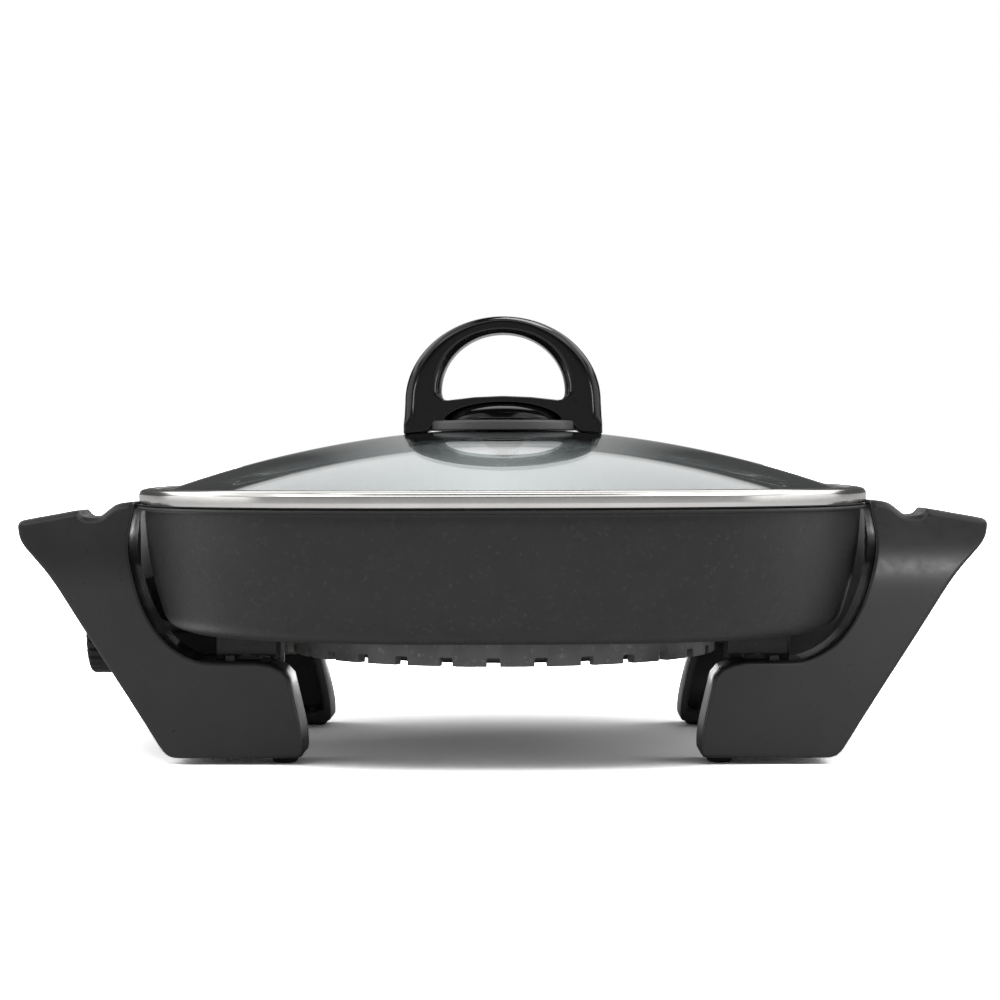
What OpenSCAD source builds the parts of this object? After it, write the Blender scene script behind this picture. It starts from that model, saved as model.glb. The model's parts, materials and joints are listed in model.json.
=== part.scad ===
// Electric skillet: square cast pan on two moulded handle-and-leg pieces, a
// domed glass lid that lifts off, and a plug-in temperature control with a
// dial. Millimetres, +Z up. Origin on the table under the middle of the pan,
// +X along the two handles, the control on the -X side.

/* [Pan] */
// Half the width of the pan at the top of its wall
pan_half = 149.4; // [147:0.2:149.6]
// How square the outline is, 2 is a circle
squareness = 2.8; // [2.6:0.05:3]
// Height of the pan's underside above the table
pan_bottom = 52.5; // [52:0.1:53]
// Height of the top of the pan's lip
pan_top = 103.6; // [103:0.1:103.6]
// Outer radius of the notched ring under the pan
ring_r = 91; // [89:0.5:93]
// Height of the bottom edge of the ring
ring_bottom = 40.5; // [40:0.1:41]
// Number of notches around the ring
ring_notches = 30; // [24:1:34]

/* [Lid] */
// Half the width of the metal rim
rim_half = 151.8; // [151.4:0.1:152.4]
// Height of the glass at its middle
glass_apex = 135.3; // [135.2:0.1:135.4]
// Fall of the glass per square millimetre of radius
glass_fall = 0.00128; // [0.00127:0.00001:0.00128]
// Thickness of the glass
glass_t = 3; // [2.8:0.1:3]
// Thickness of the lid handle, front to back
loop_t = 22; // [18:1:24]

/* [Handles and legs] */
// Half the width of a handle, front to back
side_half = 78; // [76:1:80]
// Depth of each leg, front to back
leg_depth = 27; // [24:1:27]
// Thickness of the moulded walls
wall = 3; // [2.5:0.5:3]

/* [Temperature control] */
// Radius of the dial
dial_r = 18.7; // [17:0.1:19]
// Thickness of the dial
dial_t = 10; // [8:0.5:10]
// Number of flutes around the dial
dial_flutes = 30; // [20:2:36]
// Height of the pins and of the probe
pin_z = 44; // [43.8:0.1:44.1]
// Half the distance between the pins
pin_y = 13; // [12.5:0.5:13.5]

/* [Hidden] */

ring_n = 96;
boss_x = 103;
boss_y = 64;
foot_x = 87.8;
foot_y = 66;
leg_top = 41.4;
dial_z = 49;

// A point of the rounded square outline at angle t
function sq_pt(a, n, z, t) =
    let (r = a / pow(pow(abs(cos(t)), n) + pow(abs(sin(t)), n), 1 / n))
    [r * cos(t), r * sin(t), z];
function sq_ring(a, n, z) = [for (i = [0:ring_n - 1]) sq_pt(a, n, z, 360 * i / ring_n)];
function side_faces(k) = [for (r = [0:k - 2]) for (i = [0:ring_n - 1])
    let (j = (i + 1) % ring_n, a = r * ring_n, b = (r + 1) * ring_n)
    [a + i, b + i, b + j, a + j]];

// Solid skinned over a list of rings [half width, height], closed by its first
// and last ring
module skin(prof, n) {
    k = len(prof);
    pts = [for (p = prof) for (q = sq_ring(p[0], n, p[1])) q];
    polyhedron(points = pts,
        faces = concat([[for (i = [0:ring_n - 1]) i]],
            [[for (i = [0:ring_n - 1]) (k - 1) * ring_n + ring_n - 1 - i]],
            side_faces(k)),
        convexity = 6);
}

// Endless band skinned over a closed section of rings [half width, height]
module band(prof, n) {
    k = len(prof);
    pts = [for (p = prof) for (q = sq_ring(p[0], n, p[1])) q];
    polyhedron(points = pts,
        faces = [for (r = [0:k - 1]) for (i = [0:ring_n - 1])
            let (j = (i + 1) % ring_n, a = r * ring_n, b = ((r + 1) % k) * ring_n)
            [a + i, b + i, b + j, a + j]],
        convexity = 6);
}

// Outline drawn as X and Z, made solid along Y from y0 to y1
module along_y(y0, y1) {
    translate([0, y1, 0]) rotate([90, 0, 0]) linear_extrude(height = y1 - y0) children();
}

// Cylinder along X
module rod_x(x0, x1, y, z, r) {
    translate([x0, y, z]) rotate([0, 90, 0]) cylinder(h = x1 - x0, r = r, $fn = 48);
}

// ---------------------------------------------------------------- pan

module skillet_pan() {
    h = pan_half;
    b = pan_bottom;
    t = pan_top;
    prof = [
        [h - 21.4, b], [h - 15.8, b + 0.5], [h - 11.2, b + 2.3], [h - 8.2, b + 5.6],
        [h - 6.1, b + 11.5], [h - 3.9, b + 19.5], [h - 2.2, b + 27.5], [h - 1, b + 36],
        [h - 0.2, b + 44.5], [h, t - 1.6], [h + 3.2, t - 1.3], [h + 3.4, t - 0.6],
        [h + 3.1, t], [h - 1.4, t], [h - 2.6, t - 1], [h - 3.2, b + 44.5],
        [h - 4.2, b + 36], [h - 5.6, b + 27.5], [h - 7.6, b + 19], [h - 10.4, b + 11.6],
        [h - 13.6, b + 7.6], [h - 18, b + 5], [h - 24, b + 4.2]
    ];
    color("dimgray") {
        skin(prof, squareness);
        // notched ring that keeps the heater off the table
        difference() {
            translate([0, 0, ring_bottom]) difference() {
                cylinder(h = b - ring_bottom, r = ring_r, $fn = 180);
                translate([0, 0, -1]) cylinder(h = b - ring_bottom + 1, r = ring_r - 4.5, $fn = 180);
            }
            for (i = [0:ring_notches - 1])
                rotate([0, 0, -91.9 + i * 360 / ring_notches])
                    translate([ring_r - 8, -2.7, ring_bottom - 1]) cube([12, 5.4, 4.6]);
            translate([-ring_r - 4, -20, ring_bottom - 1]) cube([12, 40, 10]);
        }
        // seats of the heater
        for (a = [40, 100, 260, 320]) rotate([0, 0, a]) translate([74, 0, b - 5])
            cylinder(h = 5.2, r = 5, $fn = 40);
        // seat of the probe socket
        translate([-86, -4, b - 3.5]) cube([22, 8, 3.7]);
        // bosses that the legs screw to
        for (sx = [-1, 1]) for (sy = [-1, 1]) difference() {
            translate([sx * boss_x, sy * boss_y, 0]) union() {
                translate([-12.6, -5.5, leg_top + 2.2]) cube([25.2, 11, b - leg_top - 2]);
                translate([0, 0, leg_top]) cylinder(h = b - leg_top + 0.2, r = 5.5, $fn = 40);
                for (e = [-11.2, 11.2]) translate([e, 0, leg_top]) cylinder(h = b - leg_top + 0.2, r = 2, $fn = 32);
            }
            translate([sx * boss_x, sy * boss_y, leg_top - 1]) cylinder(h = 8.5, r = 2.05, $fn = 32);
        }
    }
}

// Round heater bent to a C, with crimped blocks and two straight ends
module heating_element() {
    a0 = asin(pin_y / 74);
    color("darkgray") {
        translate([0, 0, pin_z]) rotate([0, 0, -180 + a0])
            rotate_extrude(angle = 360 - 2 * a0, $fn = 120) translate([74, 0]) circle(r = 3.4, $fn = 32);
        for (s = [-1, 1]) {
            translate([-77.5, s * pin_y - 3.9, pin_z - 3.9]) cube([8, 7.8, 7.8]);
            rod_x(-82, -76, s * pin_y, pin_z, 3);
        }
    }
}

// Straps that hold the heater against its seats
module element_clamps() {
    color("silver") for (a = [40, 100, 260, 320]) rotate([0, 0, a]) translate([74, 0, 0]) {
        difference() {
            translate([-7.5, -4, ring_bottom - 0.9]) cube([15, 8, 13 - 0.1]);
            translate([-3.6, -5, ring_bottom]) cube([7.2, 10, 20]);
            translate([-6.4, -5, ring_bottom + 0.2]) cube([12.8, 10, 20]);
        }
    }
}

module terminal_pins() {
    color("silver") for (s = [-1, 1]) {
        rod_x(-116, -82, s * pin_y, pin_z, 2.4);
        translate([-116, s * pin_y, pin_z]) sphere(r = 2.4, $fn = 48);
    }
}

// Ceramic bushings on the pins
module terminal_bushings() {
    color("ivory") for (s = [-1, 1]) difference() {
        rod_x(-92, -82.1, s * pin_y, pin_z, 4.2);
        rod_x(-93, -81, s * pin_y, pin_z, 2.4);
    }
}

// Tube under the pan that the probe slides into
module probe_socket() {
    color("silver") difference() {
        rod_x(-88, -60, 0, pin_z, 5);
        rod_x(-89, -62, 0, pin_z, 3.05);
    }
}

// Sheet cheeks beside the pins, with feet against the pan
module terminal_guard() {
    color("silver") {
        for (s = [-1, 1]) difference() {
            union() {
                translate([-121, s > 0 ? 24.2 : -25.4, 36]) cube([28.5, 1.2, pan_bottom - 36]);
                translate([-121, s > 0 ? 24.2 : -36.2, pan_bottom - 1.2]) cube([28.5, 12, 1.2]);
            }
            translate([-107, s * 31, pan_bottom - 3]) cylinder(h = 6, r = 1.8, $fn = 32);
        }
        translate([-121, -24.4, pan_bottom - 1.2]) cube([28.5, 48.8, 1.2]);
    }
}

module guard_screws() {
    color("silver") for (s = [-1, 1]) translate([-107, s * 31, 0]) {
        difference() {
            translate([0, 0, pan_bottom - 3]) cylinder(h = 1.8, r = 3.2, $fn = 40);
            translate([-2.4, -0.4, pan_bottom - 3.5]) cube([4.8, 0.8, 1.2]);
            translate([-0.4, -2.4, pan_bottom - 3.5]) cube([0.8, 4.8, 1.2]);
        }
        translate([0, 0, pan_bottom - 1.3]) cylinder(h = 1.3, r = 1.7, $fn = 32);
    }
}

// ---------------------------------------------------------------- handles

// Face of a leg with the end of its handle
leg_face = [
    [194.1, 93.6], [194.5, 96.2], [193.9, 97.9], [192.2, 98.6], [180, 100.7], [169, 102.6],
    [167.2, 102.5], [165.9, 100.7], [164.6, 100.1], [160.8, 100.2], [159.2, 101.6], [157, 103.6],
    [154.6, 105], [150.6, 105.6], [147.9, 105.6], [147.6, 104], [148.8, 96], [149.6, 90], [149.2, 84], [148.2, 79],
    [146.6, 72.5], [144.4, 65.5], [141.2, 58.7], [137, 52.4], [132.4, 47.7], [126.5, 44],
    [121, 41.9], [117, 41.4], [86.6, 41.4], [82.6, 25], [79.9, 13], [79.4, 5], [80.1, 3.5], [81.7, 2.7],
    [130, 2.7], [133, 3.3], [135.3, 4.9], [137, 7.2], [143.1, 17], [151.3, 29.8], [163.6, 48.9],
    [171.7, 61.7], [177.6, 71.2], [182.5, 78], [188.2, 84.3], [191.4, 87.8], [193.3, 90.8]
];
// Hollow in the back of a leg
leg_hollow = [
    [189.9, 93], [188.4, 95], [180, 96.5], [169, 98.3], [164, 97], [161, 96.6], [157.5, 98],
    [154.6, 100.8], [151.2, 101.8], [152.4, 95], [152.8, 90], [152.4, 84],
    [151.3, 78], [149.6, 71], [147.2, 64.2], [143.8, 57.2], [139.3, 50.4], [134.2, 45.2],
    [127.7, 41.2], [121.6, 38.9], [117, 38.4], [89, 38.4], [85.6, 24.6], [83.1, 13], [82.6, 6], [127.8, 5.7],
    [130, 6.3], [131.9, 7.7], [133.5, 9.3], [140, 18.8], [148.4, 31.6], [161, 50.6], [169.4, 63.4],
    [175.5, 73], [180.6, 79.9], [185.6, 86.1]
];
// The rear leg has the same outline with its top end drawn a little lower
rear_drop = 3.8;
function rear_pts(pts) = [for (p = pts) [p[0], p[1] - rear_drop * max(0, min(1, (p[0] - 156) / 10)) * max(0, min(1, (p[1] - 84) / 10))]];
// Section of the grip
grip_section = [
    [194, 92.6], [194.1, 93.8], [193.2, 95.2], [191.4, 96], [180, 96.6], [169, 97.2],
    [166.5, 97], [164.6, 95.8], [164, 93.9], [165, 91.8], [168, 89.8], [180, 85.6], [185.6, 83.8],
    [188, 84.3], [191.2, 87.8], [193.1, 90.6]
];

// One handle with its two legs, drawn for the +X side
module side_piece() {
    y = side_half;
    d = leg_depth;
    difference() {
        union() {
            for (s = [0, 1]) mirror([0, s, 0]) difference() {
                along_y(-y, -y + d) polygon(s == 0 ? leg_face : rear_pts(leg_face));
                along_y(-y + wall, -y + d + 1) polygon(s == 0 ? leg_hollow : rear_pts(leg_hollow));
            }
            // grip, bowed away from the fingers
            difference() {
                along_y(-y + wall - 0.5, y - wall + 0.5) polygon(grip_section);
                translate([-65.6, 0, 70]) cylinder(h = 40, r = 237.6, $fn = 360);
            }
            // wall between the fingers and the hot pan
            intersection() {
                translate([-268.4, 0, 71.5]) cylinder(h = 30.8, r = 423.6, $fn = 720);
                translate([140, -y + d - 1.5, 71.5]) cube([30, 2 * (y - d) + 3, 30.8]);
            }
        }
        // room for the bulge of the pan
        translate([-268.4, 0, 60]) cylinder(h = 60, r = 420, $fn = 720);
        // room for the lip and the rim
        translate([0, 0, 102]) linear_extrude(height = 6)
            polygon([for (q = sq_ring(rim_half + 2.3, squareness, 0)) [q[0], q[1]]]);
        // screw and foot holes
        for (s = [-1, 1]) {
            translate([boss_x, s * boss_y, leg_top - 6]) cylinder(h = 8, r = 2.2, $fn = 32);
            translate([foot_x, s * foot_y, 0]) cylinder(h = 8, r = 2.5, $fn = 32);
        }
    }
}

module handle_right() { color("#242426") side_piece(); }
module handle_left() { color("#242426") mirror([1, 0, 0]) side_piece(); }

module handle_screws() {
    color("silver") for (sx = [-1, 1]) for (sy = [-1, 1]) translate([sx * boss_x, sy * boss_y, 0]) {
        difference() {
            translate([0, 0, leg_top - wall - 3.6]) cylinder(h = 2.6, r = 4, $fn = 40);
            translate([-3, -0.5, leg_top - wall - 4]) cube([6, 1, 1.6]);
            translate([-0.5, -3, leg_top - wall - 4]) cube([1, 6, 1.6]);
        }
        translate([0, 0, leg_top - wall - 1.2]) cylinder(h = 11, r = 2, $fn = 32);
    }
}

module screw_washers() {
    color("gainsboro") for (sx = [-1, 1]) for (sy = [-1, 1]) translate([sx * boss_x, sy * boss_y, leg_top - wall - 1])
        difference() {
            cylinder(h = 1, r = 5, $fn = 40);
            translate([0, 0, -1]) cylinder(h = 3, r = 2.05, $fn = 32);
        }
}

module rubber_feet() {
    color("#161616") for (sx = [-1, 1]) for (sy = [-1, 1]) translate([sx * foot_x, sy * foot_y, 0])
        rotate_extrude($fn = 64) polygon([[0, 0], [4.2, 0], [5.1, 0.8], [5.3, 1.8], [5.3, 2.7], [2.45, 2.7], [2.45, 6.1],
            [3.1, 6.5], [2.6, 7.9], [1.4, 8.5], [0, 8.5]]);
}

// ---------------------------------------------------------------- lid

function glass_z(a) = glass_apex - glass_fall * a * a;

module lid_glass() {
    steps = [14, 32, 50, 68, 84, 100, 114, 128, 140, 147.2];
    outer = [for (a = steps) [a, glass_z(a)]];
    inner = [for (i = [len(steps) - 1:-1:0]) [steps[i], glass_z(steps[i]) - glass_t]];
    color("lightblue", 0.4) difference() {
        skin(concat(outer, inner), squareness);
        translate([0, 0, 120]) cylinder(h = 30, r = 4, $fn = 48);
        vent_place() translate([0, 0, -6]) cylinder(h = 10, r = 4.5, $fn = 48);
    }
}

// Folded metal rim around the edge of the glass
module lid_rim() {
    h = rim_half;
    color("silver") band([
        [h - 7.6, 103.7], [h - 1, 103.7], [h - 0.3, 104.2], [h, 105], [h, 109], [h - 0.5, 109.8],
        [h - 2.8, 110.7], [h - 5, 111], [h - 6.1, 110.6], [h - 6.5, 108.6],
        [h - 5.6, 108.35], [h - 4.3, 108], [h - 4.4, 104.5], [h - 7.6, 104.5]
    ], squareness);
}

// Bead between the glass and the rim
module glass_gasket() {
    h = rim_half;
    color("dimgray") band([[h - 7.3, 104.5], [h - 5, 104.5], [h - 7.3, 105.5]], squareness);
}

// Points of an arc of an ellipse, for the outlines of the lid handle
function arc_pts(cx, cz, rx, rz, a0, a1, n) =
    [for (i = [0:n]) let (t = a0 + (a1 - a0) * i / n) [cx + rx * cos(t), cz + rz * sin(t)]];

module lid_handle() {
    color("#101011") difference() {
        union() {
            along_y(-loop_t / 2, loop_t / 2) difference() {
                polygon(concat(arc_pts(0, 147, 42, 36.5, 0, 180, 48),
                    [[-42.3, 140], [-42.6, 133.7], [-32.6, 134.5], [-32.6, 138.9], [32.6, 138.9],
                     [32.6, 134.5], [42.6, 133.7], [42.3, 140]]));
                // the hole for the fingers
                polygon(concat(arc_pts(0, 151.5, 26.7, 24.8, 0, 180, 36),
                    [[-26.4, 149], [-25.6, 147.9], [-24.2, 147.5], [-12, 148.9], [0, 149.4], [12, 148.9],
                     [24.2, 147.5], [25.6, 147.9], [26.4, 149]]));
                // the recess around the hub
                polygon(concat(arc_pts(0, 137, 26, 9, 15, 165, 24)));
            }
            // hub
            translate([0, 0, 138.8]) rotate_extrude($fn = 96)
                polygon(concat([[0, 0]], [for (i = [0:12]) [25 * cos(i * 7.5), 8.4 * sin(i * 7.5)]]));
        }
        translate([0, 0, 138]) cylinder(h = 7.5, r = 2.05, $fn = 32);
        // clear of the skirt
        translate([0, 0, 130]) cylinder(h = 8.8, r = 32.3, $fn = 128);
    }
}

// Round skirt under the handle
module handle_skirt() {
    color("#1a1a1b") difference() {
        rotate_extrude($fn = 128) polygon([[2.6, 135.8], [15.5, 135.8], [31.6, 134.5], [32, 134.9], [32, 138.2],
            [31.4, 138.8], [2.6, 138.8]]);
    }
}

module seal_washer() {
    color("#303030") translate([0, 0, 135.05]) difference() {
        cylinder(h = 0.75, r = 13, $fn = 96);
        translate([0, 0, -1]) cylinder(h = 3, r = 2.6, $fn = 32);
    }
}

module under_washer() {
    color("#303030") rotate_extrude($fn = 96) polygon([[2.6, 132.02], [8.8, 132.02], [8.8, 131], [7.9, 129.4],
        [6.2, 128], [4.6, 127.5], [2.6, 127.5]]);
}

module lid_screw() {
    color("silver") {
        difference() {
            translate([0, 0, 125.3]) cylinder(h = 2.2, r = 3.8, $fn = 48);
            translate([-2.8, -0.5, 125]) cube([5.6, 1, 1.4]);
            translate([-0.5, -2.8, 125]) cube([1, 5.6, 1.4]);
        }
        translate([0, 0, 127.4]) cylinder(h = 17, r = 2, $fn = 32);
    }
}

// Place of the steam vent, square to the glass
module vent_place() {
    translate([0, 62, glass_z(62)]) rotate([-atan(2 * glass_fall * 62), 0, 0]) children();
}

// Eyelet of the steam vent
module vent_grommet() {
    color("silver") vent_place() rotate_extrude($fn = 64) polygon([[2.2, -3.6], [4.3, -3.6],
        [4.3, 0.15], [6.2, 0.15], [6.2, 0.6], [5.6, 1], [2.6, 1], [2.2, 0.6]]);
}

// ---------------------------------------------------------------- temperature control

cover_side = [[-100, 40], [-100, 48.6], [-101.4, 50], [-147, 50], [-151.5, 52], [-154.5, 56.5], [-156, 65.5],
    [-157.8, 67.4], [-164.6, 67.4], [-166.4, 65.6], [-166.4, 40]];
cover_room = [[-102.2, 39], [-102.2, 48], [-148, 48], [-153.2, 50.4], [-156.3, 55.4], [-158, 65.2], [-164.2, 65.2],
    [-164.2, 39]];
base_side = [[-100, 40], [-100, 34.6], [-103, 32], [-160, 30.8], [-164.8, 31.6], [-166.4, 34], [-166.4, 40]];
base_room = [[-102.2, 41], [-102.2, 36], [-104, 34.2], [-163, 34.2], [-164.2, 35.4], [-164.2, 41]];
// x, y and top of the boss
case_screws = [[-136.5, -16.5, 48.4], [-136.5, 16.5, 48.4], [-160, -16.5, 65.6], [-147.5, 16.5, 49.4]];

// The corner that the lead leaves by is cut off at 45 degrees: z runs out of the
// cut face here
module gland_place() {
    translate([-158.9, 15.5, 40]) rotate([0, 0, 135]) rotate([0, 90, 0]) children();
}
module cut_corner(d) {
    translate([-158.9, 15.5, 0]) rotate([0, 0, 135]) translate([d, -20, 20]) cube([20, 40, 60]);
}

module control_cover() {
    color("#222224") difference() {
        union() {
            difference() {
                along_y(-23, 23) polygon(cover_side);
                cut_corner(0);
                difference() {
                    along_y(-20.8, 20.8) polygon(cover_room);
                    cut_corner(-2.2);
                }
            }
            for (p = case_screws) translate([p[0], p[1], 40]) cylinder(h = p[2] - 40, r = 3.6, $fn = 32);
        }
        for (s = [-1, 1]) rod_x(-103, -99, s * pin_y, pin_z, 3);
        rod_x(-103, -99, 0, pin_z, 3.05);
        rod_x(-167, -163, 0, dial_z, 3.05);
        translate([-161, 0, 60]) cylinder(h = 10, r = 2.5, $fn = 32);
        gland_place() translate([0, 0, -4]) cylinder(h = 5, r = 3.95, $fn = 48);
        for (p = case_screws) translate([p[0], p[1], 39]) cylinder(h = 7, r = 1.55, $fn = 32);
    }
}

module control_base() {
    color("#222224") difference() {
        union() {
            difference() {
                along_y(-23, 23) polygon(base_side);
                cut_corner(0);
                difference() {
                    along_y(-20.8, 20.8) polygon(base_room);
                    cut_corner(-2.2);
                }
            }
            for (p = case_screws) translate([p[0], p[1], 33]) cylinder(h = 7, r = 3.6, $fn = 32);
        }
        gland_place() translate([0, 0, -4]) cylinder(h = 5, r = 3.95, $fn = 48);
        for (p = case_screws) {
            translate([p[0], p[1], 30]) cylinder(h = 11, r = 1.6, $fn = 32);
            translate([p[0], p[1], 30]) cylinder(h = 4.2, r = 2.9, $fn = 32);
        }
    }
}

// Spring sleeves that grip the pins
module contact_sleeves() {
    color("goldenrod") for (s = [-1, 1]) difference() {
        rod_x(-124, -102.4, s * pin_y, pin_z, 3.6);
        rod_x(-125, -101, s * pin_y, pin_z, 2.45);
    }
}

module probe_rod() {
    color("silver") {
        rod_x(-136, -65, 0, pin_z, 3);
        translate([-65, 0, pin_z]) sphere(r = 3, $fn = 48);
    }
}

// Ceramic block of the thermostat
module thermostat_block() {
    color("ivory") difference() {
        translate([-150, -8, 34.2]) cube([26, 16, 11]);
        rod_x(-136.05, -120, 0, pin_z, 3.02);
        translate([-151, -5, 38.6]) cube([16, 10, 10]);
    }
}

// Bimetal blade
module thermostat_blade() {
    color("peru") {
        translate([-156.5, -3, 38.6]) cube([20, 6, 0.8]);
        translate([-148, 0, 39.2]) cylinder(h = 1.2, r = 2, $fn = 32);
    }
}

// Straps from the sleeves to the block
module contact_leads() {
    color("goldenrod") for (s = [-1, 1]) {
        translate([-132, s > 0 ? 8 : -13, 41.9]) cube([8, 5, 0.8]);
        translate([-126.4, s > 0 ? 10 : -16, 41.9]) cube([2.4, 6, 4.2]);
    }
}

module pilot_lens() {
    color("darkorange") translate([-161, 0, 0]) rotate_extrude($fn = 64)
        polygon([[0, 63.2], [2.95, 63.2], [2.95, 65.2], [2.45, 65.2], [2.45, 67.9], [1.8, 68.6], [0, 68.8]]);
}

// Sleeve that the mains lead comes out of
module cord_gland() {
    color("#1b1b1c") gland_place() rotate_extrude($fn = 64)
        polygon([[2.8, -4.4], [5, -4.4], [5, -2.25], [3.9, -2.25], [3.9, 0.05], [5.6, 0.05], [5.6, 2], [4.6, 14], [2.8, 14]]);
}

module control_screws() {
    color("silver") for (p = case_screws) translate([p[0], p[1], 0]) {
        difference() {
            translate([0, 0, 32]) cylinder(h = 2.2, r = 2.8, $fn = 32);
            translate([-1.9, -0.4, 31.6]) cube([3.8, 0.8, 1.2]);
            translate([-0.4, -1.9, 31.6]) cube([0.8, 3.8, 1.2]);
        }
        translate([0, 0, 34]) cylinder(h = 11, r = 1.5, $fn = 32);
    }
}

module temperature_dial() {
    x1 = -168;
    x0 = x1 - dial_t;
    color("#202022") difference() {
        rod_x(x0, x1, 0, dial_z, dial_r);
        for (i = [0:dial_flutes - 1]) let (a = i * 360 / dial_flutes)
            rod_x(x0 - 1, x1 - 1.6, (dial_r + 0.5) * cos(a), dial_z + (dial_r + 0.5) * sin(a), 1.3);
        // socket of the shaft
        rod_x(x1 - 6, x1 + 1, 0, dial_z, 3);
    }
}

module dial_shaft() {
    color("silver") rod_x(-174, -157.2, 0, dial_z, 3);
}

// Cam that bends the blade
module thermostat_cam() {
    color("white") difference() {
        translate([-162.2, 0, 0]) union() {
            rod_x(0, 4.4, 0, dial_z, 7);
            rod_x(0, 4.4, 2.4, dial_z + 1, 6);
        }
        rod_x(-163, -157, 0, dial_z, 3);
    }
}

skillet_pan();
heating_element();
element_clamps();
terminal_pins();
terminal_bushings();
probe_socket();
terminal_guard();
guard_screws();
handle_left();
handle_right();
handle_screws();
screw_washers();
rubber_feet();
lid_glass();
lid_rim();
glass_gasket();
lid_handle();
handle_skirt();
seal_washer();
under_washer();
lid_screw();
vent_grommet();
control_cover();
control_base();
contact_sleeves();
probe_rod();
thermostat_block();
thermostat_blade();
contact_leads();
pilot_lens();
cord_gland();
control_screws();
temperature_dial();
dial_shaft();
thermostat_cam();
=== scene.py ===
import json
import math

import bmesh
import bpy
from mathutils import Matrix, Vector


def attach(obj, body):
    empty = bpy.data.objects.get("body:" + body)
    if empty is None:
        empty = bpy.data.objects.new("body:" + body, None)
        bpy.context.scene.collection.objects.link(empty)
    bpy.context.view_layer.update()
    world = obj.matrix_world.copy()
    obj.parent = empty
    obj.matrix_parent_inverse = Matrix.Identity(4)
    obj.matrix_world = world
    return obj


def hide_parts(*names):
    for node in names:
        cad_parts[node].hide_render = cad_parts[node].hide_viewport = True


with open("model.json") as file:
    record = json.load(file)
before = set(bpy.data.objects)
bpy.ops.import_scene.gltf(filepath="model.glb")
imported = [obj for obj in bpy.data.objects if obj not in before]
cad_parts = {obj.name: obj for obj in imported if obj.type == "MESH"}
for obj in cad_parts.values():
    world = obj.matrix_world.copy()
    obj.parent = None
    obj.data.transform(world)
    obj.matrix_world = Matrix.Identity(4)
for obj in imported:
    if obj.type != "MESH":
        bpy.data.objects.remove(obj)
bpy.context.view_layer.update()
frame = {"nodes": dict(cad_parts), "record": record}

# Everything below is drawn in millimetres and stored in metres.
MM = 0.001
SQ = 2.8            # squareness of the pan's outline
RIM_H = 151.8       # half width of the lid rim
PAN_H = 149.4       # half width of the pan
PAN_B = 52.5        # underside of the pan
PAN_T = 103.6       # top of the lip
APEX = 135.3        # top of the glass
FALL = 0.00128
scene = bpy.context.scene


# ------------------------------------------------------------------ curves

def catmull(pts, n=6, closed=False):
    """Smooth curve through the points."""
    out = []
    k = len(pts)
    last = k if closed else k - 1
    for i in range(last):
        p0 = pts[(i - 1) % k] if closed or i > 0 else pts[0]
        p1 = pts[i % k]
        p2 = pts[(i + 1) % k]
        p3 = pts[(i + 2) % k] if closed or i + 2 < k else pts[-1]
        for j in range(n):
            t = j / n
            out.append(tuple(
                0.5 * ((2 * b) + (c - a) * t + (2 * a - 5 * b + 4 * c - d) * t * t + (3 * b - a - 3 * c + d) * t ** 3)
                for a, b, c, d in zip(p0, p1, p2, p3)))
    if not closed:
        out.append(tuple(pts[-1]))
    return out


def fillet(pts, radii, seg=5, closed=True):
    """Rounds each corner of a line with a smooth arc about that radius."""
    k = len(pts)
    if not hasattr(radii, "__len__"):
        radii = [radii] * k
    out = []
    for i in range(k):
        if not closed and i in (0, k - 1):
            out.append(tuple(pts[i]))
            continue
        a, p, b = Vector(pts[i - 1]), Vector(pts[i]), Vector(pts[(i + 1) % k])
        u, v = a - p, b - p
        if radii[i] <= 0 or u.length < 1e-6 or v.length < 1e-6:
            out.append(tuple(p))
            continue
        ang = u.angle(v)
        d = radii[i] / max(math.tan(ang / 2), 1e-3)
        d = min(d, u.length * 0.49, v.length * 0.49)
        s, e = p + u.normalized() * d, p + v.normalized() * d
        for j in range(seg + 1):
            t = j / seg
            out.append(tuple(s * (1 - t) ** 2 + p * 2 * t * (1 - t) + e * t * t))
    return out


def chaikin(pts, times=2, ratio=0.25):
    """Cuts corners evenly, so a drawn outline flows."""
    for _ in range(times):
        out = []
        for i, p in enumerate(pts):
            q = pts[(i + 1) % len(pts)]
            out.append(tuple(a + (b - a) * ratio for a, b in zip(p, q)))
            out.append(tuple(a + (b - a) * (1 - ratio) for a, b in zip(p, q)))
        pts = out
    return pts


def area(pts):
    return 0.5 * sum(p[0] * q[1] - q[0] * p[1] for p, q in zip(pts, pts[1:] + pts[:1]))


def ccw(pts):
    return list(pts) if area(pts) > 0 else list(reversed(pts))


def outward(pts):
    """Unit normals that point away from the material, for a loop with the material on its left, and their mitre lengths."""
    k = len(pts)
    res = []
    for i in range(k):
        a, p, b = pts[i - 1], pts[i], pts[(i + 1) % k]
        d0 = Vector((p[0] - a[0], p[1] - a[1]))
        d1 = Vector((b[0] - p[0], b[1] - p[1]))
        if d0.length < 1e-9:
            d0 = d1
        if d1.length < 1e-9:
            d1 = d0
        n0 = Vector((d0.y, -d0.x)).normalized()
        n1 = Vector((d1.y, -d1.x)).normalized()
        n = n0 + n1
        n = n.normalized() if n.length > 1e-6 else n0
        res.append((n, 1 / max(n.dot(n0), 0.7)))
    return res


# ------------------------------------------------------------------ meshes

def finish_mesh(name, verts, faces, sharp=32, body=None, mat=None, flip=False):
    me = bpy.data.meshes.new(name)
    me.from_pydata([(x * MM, y * MM, z * MM) for x, y, z in verts], [], faces)
    bm = bmesh.new()
    bm.from_mesh(me)
    bmesh.ops.remove_doubles(bm, verts=bm.verts, dist=1e-6)
    bmesh.ops.recalc_face_normals(bm, faces=bm.faces)
    bm.to_mesh(me)
    bm.free()
    return finish_object(name, me, sharp, body, mat)


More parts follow.
